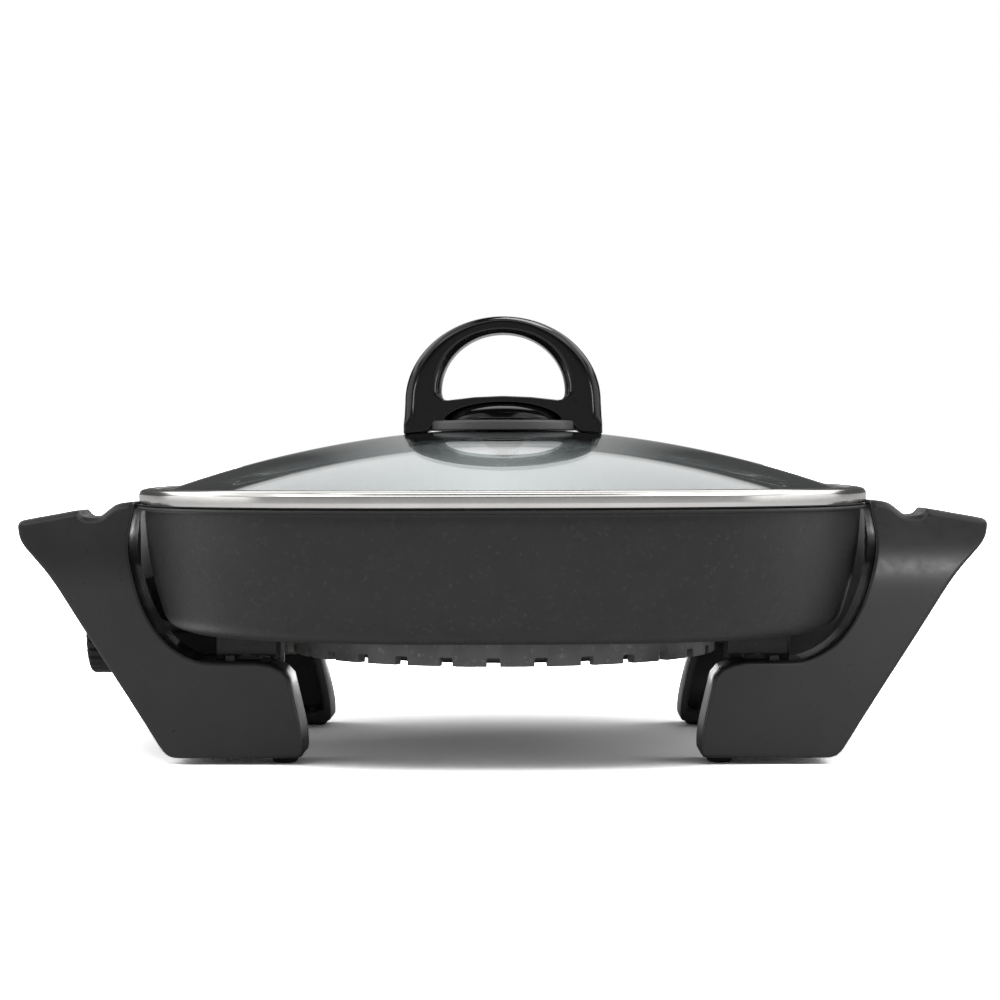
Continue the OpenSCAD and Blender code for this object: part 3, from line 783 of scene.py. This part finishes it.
side = join(*side_parts())
right = finish_mesh("side_right", *side, sharp=38, body="base", mat=M_SATIN)
stands_for(right, "black_moulding", "handle_right")
left = finish_mesh("side_left", *mirrored(side, 0), sharp=38, body="base", mat=M_SATIN)
stands_for(left, "black_moulding", "handle_left")
# the leg faces that turn towards the pan get the near-black copy of the moulding: painted shade in the gap between
# handle and pan
for ob, sx in ((right, 1), (left, -1)):
    ob.data.materials.append(M_FLANGE_SHADED)
    for q in ob.data.polygons:
        c = q.center / MM
        if abs(c.y) > 50.5 and sx * q.normal.x + 0.0 * q.normal.z < -0.25 and abs(q.normal.y) < 0.5 and c.z > 40 and sx * c.x < 150.5 - 0.0 * c.z:
            q.material_index = 1

# the heat walls wear the near-black copy of the moulding, which paints them in shade
wall = sweep_y(*heat_wall())
wall_right = finish_mesh("heat_wall_right", *wall, sharp=38, body="base", mat=M_WALL_SHADED)
wall_left = finish_mesh("heat_wall_left", *mirrored(wall, 0), sharp=38, body="base", mat=M_WALL_SHADED)

# ------------------------------------------------------------------ lid

def lid_n(a):
    return 2 + (SQ - 2) * min(1, a / 147.2)


def gz(a):
    return APEX - FALL * a * a


rad = [4.0, 6, 10, 14] + [14 + (147 - 14) * i / 44 for i in range(1, 45)]
top = [(a, gz(max(a, 14))) for a in rad]
edge = fillet([(147, gz(147)), (147.3, gz(147) - 0.8), (147.3, gz(147) - 2.2), (147, gz(147) - 3)], 0.6, 4, closed=False)
bot = [(a, gz(max(a, 14)) - 3) for a in reversed(rad)]
glass_prof = top[:-1] + edge + bot[1:]
v, f = loft(glass_prof, 256, closed=True, n=lid_n)
glass = finish_mesh("lid_dome", v, f, sharp=60)
vent = Matrix.Translation((0, 62, gz(62))) @ Matrix.Rotation(-math.atan(2 * FALL * 62), 4, "X")
hv, hf = lathe([(0.01, -7), (4.5, -7), (4.5, 4), (0.01, 4)], 64)
boolean(glass, [finish_mesh("vent_drill", [tuple(vent @ Vector(q)) for q in hv], hf)])
glass.data.materials.clear()
glass.data.materials.append(M_GLASS)
glass.data.polygons.foreach_set("material_index", [0] * len(glass.data.polygons))
glass.data.polygons.foreach_set("use_smooth", [True] * len(glass.data.polygons))
glass.data.set_sharp_from_angle(angle=math.radians(45))
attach(glass, "lid")
stands_for(glass, "lid_glass", "lid_glass")

H = RIM_H
rim_prof = fillet([
    (H - 7.6, 103.7), (H - 1, 103.7), (H - 0.1, 104.5), (H, 106.2), (H, 108.6), (H - 0.7, 110.1),
    (H - 2.8, 110.75), (H - 5, 111), (H - 6.3, 110.5), (H - 6.5, 108.6),
    (H - 5.6, 108.35), (H - 4.3, 108), (H - 4.4, 104.5), (H - 7.6, 104.5)],
    [0.3, 1.2, 1.2, 1, 1.2, 1.6, 1.5, 1.2, 1, 0.4, 0.3, 0.3, 0.3, 0.3], 5)
v, f = loft(rim_prof, 320, closed=True)
rim = finish_mesh("lid_rim_band", v, f, sharp=50, body="lid", mat=M_RIM)
stands_for(rim, "rim_steel", "lid_rim")


def arc(cx, cz, rx, rz, a0, a1, n):
    return [(cx + rx * math.cos(math.radians(a0 + (a1 - a0) * i / n)), cz + rz * math.sin(math.radians(a0 + (a1 - a0) * i / n)))
            for i in range(n + 1)]


loop_out = arc(0, 147, 42, 36.5, 0, 180, 96) + [(-42.3, 141), (-42.5, 137), (-42.5, 133.6), (-41.9, 132.95), (-33.2, 133.75), (-31.5, 134.5), (-30, 136.3),
            (30, 136.3), (31.5, 134.5), (33.2, 133.75), (41.9, 132.95), (42.5, 133.6), (42.5, 137), (42.3, 141)]
loop_hole = arc(0, 151.5, 26.7, 24.8, 0, 180, 64) + [(-26.6, 150.5), (-26.2, 148.9), (-25.2, 147.8), (-23.4, 147.6), (-12, 148.9),
            (0, 149.4), (12, 148.9), (23.4, 147.6), (25.2, 147.8), (26.2, 148.9), (26.6, 150.5)]
recess = arc(0, 137.4, 25.6, 9.2, 12, 168, 40) + [(-24.2, 138.95), (0, 138.95), (24.2, 138.95)]


def loop_round(x, z, n):
    side = min(1.0, abs(x) / 34) ** 1.5
    return 2.7 + 2.6 * side if z > 139.5 else 0.8


def hole_round(x, z, n):
    side = min(1.0, abs(x) / 22) ** 1.5
    if z < 149.6:
        return 0.75
    return 2.2 + 1.5 * side


def mixed_hole(x, z, n):
    return 0.5 if z < 147 and abs(x) < 25.5 else hole_round(x, z, n)


v, f = plate(loop_out, [loop_hole, recess], -11, 11, loop_round, mixed_hole, seg=7)
loop = finish_mesh("lid_loop", v, f, sharp=42, body="lid", mat=M_GLOSS)
stands_for(loop, "gloss_moulding", "lid_handle")
hub = [(0.01, 138.8)] + [(25 * math.cos(math.radians(q * 3.75)), 138.8 + 8.3 * math.sin(math.radians(q * 3.75))) for q in range(0, 25)]
v, f = lathe(hub, 128)
# the hub takes the darker, less reflective copy: painted shade in the recess
hubo = finish_mesh("lid_hub", v, f, sharp=42, body="lid", mat=M_HUB_SHADED)
sk = fillet([(2.6, 135.8), (15.5, 135.8), (31.4, 134.6), (32, 135), (32, 138.1), (31.3, 138.8), (2.6, 138.8)], [0.2, 0.5, 0.4, 0.5, 0.6, 0.7, 0.2], 4)
v, f = lathe(sk, 160)
# the skirt takes the lighter grey copy, a painted reflection on the gloss moulding
skirt = finish_mesh("lid_skirt", v, f, sharp=42, body="lid", mat=M_SKIRT_LIT)
stands_for(skirt, "gloss_moulding", "handle_skirt")

# ------------------------------------------------------------------ temperature control

COVER = [(-100, 40.05), (-100, 48.6), (-101.4, 50), (-147, 50), (-151.5, 52), (-154.5, 56.5), (-156, 65.5),
         (-157.8, 67.4), (-164.6, 67.4), (-166.4, 65.6), (-166.4, 40.05)]
COVER_ROOM = [(-102.2, 39), (-102.2, 48), (-148, 48), (-153.2, 50.4), (-156.3, 55.4), (-158, 65.2), (-164.2, 65.2), (-164.2, 39)]
BASE = [(-100, 39.95), (-100, 34.6), (-103, 32), (-160, 30.8), (-164.8, 31.6), (-166.4, 34), (-166.4, 39.95)]
BASE_ROOM = [(-102.2, 41), (-102.2, 36), (-104, 34.2), (-163, 34.2), (-164.2, 35.4), (-164.2, 41)]
# x, y and top of each boss
CASE_SCREWS = ((-136.5, -16.5, 48.3), (-136.5, 16.5, 48.3), (-160, -16.5, 65.5), (-147.5, 16.5, 49.3))
CUT = Vector((-158.9, 15.5, 40))            # middle of the corner face that the lead leaves by
CUT_N = Vector((-1, 1, 0)).normalized()


def prism(pts, y0, y1):
    return sweep_y([pts, pts], [y0, y1])


def across(part):
    """Turns a part drawn along +Z so that it runs out of the cut corner."""
    m = Matrix.Translation(CUT) @ Matrix.Rotation(math.radians(135), 4, "Z") @ Matrix.Rotation(math.pi / 2, 4, "Y")
    v, f = part
    return ([tuple(m @ Vector(q)) for q in v], f)


def corner_block(d):
    m = Matrix.Translation((CUT.x, CUT.y, 0)) @ Matrix.Rotation(math.radians(135), 4, "Z")
    lo, hi = (d, -20, 20), (d + 20, 20, 80)
    v = [tuple(m @ Vector((x, y, z))) for x in (lo[0], hi[0]) for y in (lo[1], hi[1]) for z in (lo[2], hi[2])]
    return v, [(0, 1, 3, 2), (4, 6, 7, 5), (0, 4, 5, 1), (2, 3, 7, 6), (0, 2, 6, 4), (1, 5, 7, 3)]


def post(x, y, z0, z1, r, seg=40):
    return lathe([(0.01, z0), (r, z0), (r, z1), (0.01, z1)], seg, (x, y, 0))


def along_x(x0, x1, y, z, r, seg=40):
    return lathe([(0.01, 0), (r, 0), (r, x1 - x0), (0.01, x1 - x0)], seg, (x0, y, z), Matrix.Rotation(math.pi / 2, 3, "Y"))


def case_half(name, outline, fillets, soft, room, bosses, holes):
    """One half of the case. soft rounds its long edges, and the joint between the halves gets a fine rounding."""
    v, f = plate(fillet(outline, fillets, 5), [], -23, 23, lambda x, z, n: 0.35 if abs(z - 40) < 0.4 else soft, seg=5)
    ob = finish_mesh(name, v, f, sharp=38)
    boolean(ob, [finish_mesh("corner", *corner_block(0))])
    # soften the edges of the cut corner
    bm = bmesh.new()
    bm.from_mesh(ob.data)
    on = [e for e in bm.edges if len(e.link_faces) == 2
          and all(abs((q.co - CUT * MM).dot(CUT_N)) < 2e-6 for q in e.verts)
          and e.calc_face_angle(0) > math.radians(25) and max(q.co.z for q in e.verts) > 0]
    bmesh.ops.bevel(bm, geom=on, offset=0.0007, segments=3, profile=0.5, affect="EDGES", clamp_overlap=True)
    bm.to_mesh(ob.data)
    bm.free()
    hollow = finish_mesh("room", *prism(room, -20.8, 20.8))
    boolean(hollow, [finish_mesh("corner", *corner_block(-2.2))])
    boolean(ob, [hollow])
    for q in bosses:
        boolean(ob, [finish_mesh("boss", *q)], "UNION")
    for q in holes:
        boolean(ob, [finish_mesh("hole", *q)])
    ob.data.materials.clear()
    ob.data.materials.append(M_CONTROL)
    ob.data.polygons.foreach_set("material_index", [0] * len(ob.data.polygons))
    ob.data.polygons.foreach_set("use_smooth", [True] * len(ob.data.polygons))
    ob.data.set_sharp_from_angle(angle=math.radians(32))
    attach(ob, "control")
    return ob


gland_hole = across(lathe([(0.01, -4), (3.95, -4), (3.95, 1.5), (0.01, 1.5)], 64))
cover = case_half(
    "control_top", COVER, [0.3, 1.2, 1.2, 4, 4, 4, 3, 1.5, 1.5, 1.5, 0.3], 1.6, COVER_ROOM,
    [post(x, y, 40.05, zt, 3.6) for x, y, zt in CASE_SCREWS],
    [along_x(-103, -99, y, 44, r) for y, r in ((-13, 3), (13, 3), (0, 3.05))]
    + [along_x(-167, -163, 0, 49, 3.05), post(-161, 0, 60, 70, 2.5), gland_hole]
    + [post(x, y, 39, 46, 1.55, 32) for x, y, zt in CASE_SCREWS])
stands_for(cover, "control_moulding", "control_cover")
under_case = case_half(
    "control_bottom", BASE, [0.3, 2, 3, 3, 2, 2, 0.3], 0.9, BASE_ROOM,
    [post(x, y, 33.3, 39.95, 3.6) for x, y, zt in CASE_SCREWS],
    [gland_hole] + [post(x, y, 29, 41, 1.6, 32) for x, y, zt in CASE_SCREWS] + [post(x, y, 29, 34.2, 2.9, 40) for x, y, zt in CASE_SCREWS])
stands_for(under_case, "control_moulding", "control_base")

# Dial with rounded flutes, a raised pointer and printed numbers
DZ = 49.0
ROWS = [(-178, 1.4), (-177.75, 0.7), (-177.3, 0.25), (-176.6, 0.0), (-172.4, 0.0), (-170, 0.0), (-169.4, -0.15), (-168.4, 0.4), (-168, 1.0)]
nseg = 30 * 12
dv, df = [], []
for x, ins in ROWS:
    for i in range(nseg):
        a = 2 * math.pi * i / nseg
        ph = (i % 12) / 12
        groove = max(0.0, math.cos(2 * math.pi * ph)) ** 1.6 * (1.15 if -177.4 < x < -169.5 else (0.45 if x > -169.5 else 0.8))
        if x > -169.5:
            groove = 0
        r = 18.7 - max(ins, 0) - groove
        dv.append((x, r * math.cos(a), DZ + r * math.sin(a)))
for r in range(len(ROWS) - 1):
    for i in range(nseg):
        j = (i + 1) % nseg
        df.append((r * nseg + i, r * nseg + j, (r + 1) * nseg + j, (r + 1) * nseg + i))
df.append(tuple(range(nseg)))
df.append(tuple(range((len(ROWS) - 1) * nseg, len(ROWS) * nseg)))
dial = finish_mesh("dial_knob", dv, df, sharp=45, body="dial", mat=M_CONTROL)
stands_for(dial, "control_moulding", "temperature_dial")


def print_mark(name, text, angle, radius, size):
    cu = bpy.data.curves.new(name, "FONT")
    cu.body = text
    cu.size = size * MM
    cu.align_x = "CENTER"
    cu.align_y = "CENTER"
    cu.extrude = 0.00006
    ob = bpy.data.objects.new(name, cu)
    scene.collection.objects.link(ob)
    a = math.radians(angle)
    # the dial faces -X; seen from there, right is -Y and up is +Z
    right_v = Vector((0, -math.cos(a), -math.sin(a)))
    up_v = Vector((0, -math.sin(a), math.cos(a)))
    pos = Vector((-178.0, -math.sin(a) * radius, DZ + math.cos(a) * radius)) * MM
    m = Matrix((right_v, up_v, Vector((-1, 0, 0)))).transposed().to_4x4()
    m.translation = pos
    ob.matrix_world = m
    bpy.context.view_layer.update()
    dg = bpy.context.evaluated_depsgraph_get()
    me = bpy.data.meshes.new_from_object(ob.evaluated_get(dg))
    me.transform(ob.matrix_world)
    bpy.data.objects.remove(ob)
    me.materials.clear()
    me.materials.append(M_PRINT)
    o2 = bpy.data.objects.new(name, me)
    scene.collection.objects.link(o2)
    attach(o2, "dial")
    return o2


for i, word in enumerate(("OFF", "200", "250", "300", "350", "400")):
    print_mark("dial_mark_%d" % i, word, -i * 50, 12.2, 4.4 if word != "OFF" else 4.0)
v, f = rounded_box((-178.3, -1.1, DZ + 15.0), (-176, 1.1, DZ + 17.6), 0.3, 2)
tick = finish_mesh("dial_tick", v, f, sharp=40, body="dial", mat=M_PRINT)
v, f = lathe(fillet([(0.01, -177.0), (8.4, -177.0), (8.4, -178.3), (7.6, -178.9), (0.01, -179.1)], [0, 0, 0.5, 0.8, 0], 4), 96,
             (0, 0, 0))
v = [(p[2], p[0], DZ + p[1]) for p in v]
cap = finish_mesh("dial_cap", v, f, sharp=40, body="dial", mat=M_CONTROL)

# ------------------------------------------------------------------ finishes of the carried-over pieces

slots = {s["node"]: s["material_slot"] for s in frame["record"]["subparts"]}
for name, ob in frame["nodes"].items():
    m = SLOT_MATS[slots[name]]
    if ob.data.materials:
        for i in range(len(ob.material_slots)):
            ob.material_slots[i].material = m
    else:
        ob.data.materials.append(m)

# ------------------------------------------------------------------ floor, light, camera

FLOOR_BOUNCE = 0.52
FLOOR_SEEN = 3.2

bpy.ops.mesh.primitive_plane_add(size=60, location=(0, 0, 0))
floor = bpy.context.object
floor.name = "floor"
fm = Mat("floor_paper")
seen = fm.t.nodes.new("ShaderNodeLightPath").outputs["Is Camera Ray"]
paper = fm.ramp(fm.noise(3, 2, 0.5), [(0.3, (0.99, 0.985, 1.0)), (0.7, (1.0, 0.995, 1.0))])
paper_shade = fm.t.nodes.new("ShaderNodeVectorMath")
paper_shade.operation = "SCALE"
fm.t.links.new(paper, paper_shade.inputs[0])
fm.t.links.new(fm.remap(seen, 0, 1, FLOOR_BOUNCE, FLOOR_SEEN), paper_shade.inputs["Scale"])
fm.to("Base Color", paper_shade.outputs[0])
fm.set(Roughness=0.9, Specular_IOR_Level=0.0)
floor.data.materials.append(fm.m)

world = bpy.data.worlds.new("studio")
scene.world = world
world.use_nodes = True
wt = world.node_tree
wt.nodes.clear()


def wnode(kind, **kw):
    n = wt.nodes.new(kind)
    for k, v in kw.items():
        setattr(n, k, v)
    return n


tc = wnode("ShaderNodeTexCoord")
sp = wnode("ShaderNodeSeparateXYZ")
wt.links.new(tc.outputs["Generated"], sp.inputs["Vector"])
X, Y, Z = sp.outputs


def wmath(op, a, b=0.0, c=0.0):
    n = wnode("ShaderNodeMath", operation=op)
    for i, v in enumerate((a, b, c)):
        if hasattr(v, "links"):
            wt.links.new(v, n.inputs[i])
        else:
            n.inputs[i].default_value = v
    return n.outputs[0]


def wstep(src, lo, hi, a=0.0, b=1.0):
    n = wnode("ShaderNodeMapRange", interpolation_type="SMOOTHSTEP")
    for k, v in zip(("From Min", "From Max", "To Min", "To Max"), (lo, hi, a, b)):
        n.inputs[k].default_value = v
    wt.links.new(src, n.inputs["Value"])
    return n.outputs["Result"]


def wadd(*xs):
    r = xs[0]
    for x in xs[1:]:
        r = wmath("ADD", r, x)
    return r


def wmul(*xs):
    r = xs[0]
    for x in xs[1:]:
        r = wmath("MULTIPLY", r, x)
    return r


back = wstep(Y, -0.15, 0.15)
frontw = wmath("SUBTRACT", 1.0, back)


def box(x0, x1, y0, y1, z0, z1, soft, level):
    """Softbox: the part of the sky whose direction lies in this box, with soft edges."""
    r = level
    for src, lo, hi in ((X, x0, x1), (Y, y0, y1), (Z, z0, z1)):
        if lo is not None:
            r = wmul(wstep(src, lo - soft, lo + soft), r)
        if hi is not None:
            r = wmul(wmath("SUBTRACT", 1.0, wstep(src, hi - soft, hi + soft)), r)
    return r


# two softboxes overhead, left and right of the middle, which stays dark
over_right = box(0.24, 0.80, -0.55, 0.60, 0.35, None, 0.05, 1.3)
over_left = box(-0.80, -0.30, -0.55, 0.60, 0.35, None, 0.05, 0.9)
# behind: dark below about 22 degrees, bright above
back_high = wmul(back, wstep(Z, 0.375, 0.40), wmath("SUBTRACT", 1.0, wstep(Z, 0.62, 0.82)), 1.27)
back_low = wmul(back, wmath("SUBTRACT", 1.0, wstep(Z, 0.375, 0.40)), wmath("MAXIMUM", wmath("SUBTRACT", 0.66, wmath("MULTIPLY", wmath("ABSOLUTE", wmath("ADD", X, 0.018)), 5.0)), 0.075))
horizon = wmul(back, wmath("SUBTRACT", 1.0, wstep(Z, 0.05, 0.10)), 0.1)
# in front: a dim room
front_low = wmul(frontw, wmath("SUBTRACT", 1.0, wstep(Z, 0.10, 0.45)), 0.25)
front_mid = wmul(frontw, 0.05)
front_high = box(-0.62, 0.62, None, -0.25, 0.60, 0.78, 0.03, 1.35)
# strips low at both sides
strip_r = box(0.86, None, -0.6, 0.6, None, 0.5, 0.05, 1.0)
strip_l = box(None, -0.86, -0.6, 0.6, None, 0.5, 0.05, 1.0)
total = wadd(over_right, over_left, back_high, back_low, front_low, front_mid, front_high, strip_r, strip_l, horizon)
bg = wnode("ShaderNodeBackground")
wt.links.new(total, bg.inputs["Color"])
bg.inputs["Strength"].default_value = 1.0
white = wnode("ShaderNodeBackground")
white.inputs["Color"].default_value = (1, 1, 1, 1)
white.inputs["Strength"].default_value = 1.0
lp = wnode("ShaderNodeLightPath")
mixs = wnode("ShaderNodeMixShader")
wt.links.new(lp.outputs["Is Camera Ray"], mixs.inputs[0])
wt.links.new(bg.outputs[0], mixs.inputs[1])
wt.links.new(white.outputs[0], mixs.inputs[2])
wo = wnode("ShaderNodeOutputWorld")
wt.links.new(mixs.outputs[0], wo.inputs["Surface"])



def lamp(name, place, aim, w, h, watts, targets, gloss_only=True, free=False):
    """Rectangular lamp that lights only the named pieces. free lets its light pass the other pieces."""
    li = bpy.data.lights.new(name, "AREA")
    li.shape = "RECTANGLE"
    li.size = w
    li.size_y = h
    li.energy = watts
    ob = bpy.data.objects.new(name, li)
    scene.collection.objects.link(ob)
    d = Vector(aim) - Vector(place)
    ob.matrix_world = Matrix.Translation(place) @ d.to_track_quat("-Z", "Y").to_matrix().to_4x4()
    ob.visible_camera = False
    ob.visible_diffuse = not gloss_only
    group = bpy.data.collections.new(name + "_lights")
    for q in targets:
        group.objects.link(q)
    ob.light_linking.receiver_collection = group
    if free:
        ob.light_linking.blocker_collection = group
    return ob


# sheen on the right handle, light lines on the lid handle and along the legs, light in the gaps beside the pan
lamp("side_lamp", (0.262, -0.60, 0.165), (0.166, -0.078, 0.082), 0.10, 0.02, 0.42, [right])
lamp("loop_lamp_left", (-0.50, -0.62, 0.16), (0.0, -0.02, 0.15), 0.10, 0.30, 0.6, [loop])
lamp("loop_lamp_right", (0.53, -0.62, 0.16), (0.0, -0.02, 0.15), 0.10, 0.30, 0.6, [loop])
lamp("loop_lamp_top", (0.13, -0.05, 0.80), (0.01, -0.01, 0.18), 0.40, 0.36, 4.0, [loop])
lamp("leg_lamp_left", (0.43, -0.20, 0.17), (-0.15, -0.078, 0.08), 0.06, 0.16, 0.25, [left], free=True)
lamp("leg_lamp_right", (-0.40, -0.20, 0.17), (0.15, -0.078, 0.08), 0.06, 0.16, 0.25, [right], free=True)
lamp("gap_lamp_left", (-0.06, 0.43, 0.03), (-0.149, -0.065, 0.097), 0.05, 0.05, 0.06, [left], free=True)
lamp("gap_lamp_right", (0.07, 0.43, 0.03), (0.149, -0.065, 0.097), 0.05, 0.05, 0.06, [right], free=True)
lamp("wall_lamp_left", (-0.145, 0.43, 0.115), (-0.150, -0.03, 0.095), 0.12, 0.08, 0.16, [wall_left], free=True)
lamp("wall_lamp_right", (0.155, 0.43, 0.115), (0.150, -0.03, 0.095), 0.12, 0.08, 0.12, [wall_right], free=True)
lamp("pan_lamp_left", (-0.45, 0.25, -0.22), (-0.14, -0.06, 0.065), 0.12, 0.12, 0.22, [pan], free=True)
lamp("pan_side_left", (-0.60, -0.08, 0.11), (-0.12, -0.10, 0.08), 0.25, 0.25, 0.10, [pan], free=True)
lamp("pan_side_right", (0.60, -0.08, 0.11), (0.12, -0.10, 0.08), 0.25, 0.25, 0.10, [pan], free=True)
lamp("rim_lamp", (0.0, -0.15, 1.0), (0.0, -0.15, 0.1), 0.7, 0.5, 2.4, [rim])
lamp("floor_lamp", (0.0, -1.2, 1.5), (0.0, 0.0, 0.0), 1.0, 0.6, 21.0, [floor], gloss_only=False)

scene.view_settings.view_transform = "Standard"
scene.view_settings.look = "None"
scene.view_settings.exposure = 0.0
scene.view_settings.gamma = 1.0

CAM = dict(x=0.0130, y=-1.0, z=0.1235, yaw=0.83, pitch=-1.08, roll=-0.16, f=2313.0)
cam = bpy.data.cameras.new("camera")
cam.sensor_fit = "HORIZONTAL"
cam.sensor_width = 36
cam.lens = CAM["f"] / 1000 * 36
cam.clip_start = 0.01
cam.clip_end = 200
co = bpy.data.objects.new("camera", cam)
scene.collection.objects.link(co)
co.matrix_world = (Matrix.Translation((CAM["x"], CAM["y"], CAM["z"])) @ Matrix.Rotation(math.radians(CAM["yaw"]), 4, "Z")
                   @ Matrix.Rotation(math.radians(90 + CAM["pitch"]), 4, "X") @ Matrix.Rotation(math.radians(CAM["roll"]), 4, "Z"))
scene.camera = co

bpy.context.view_layer.update()
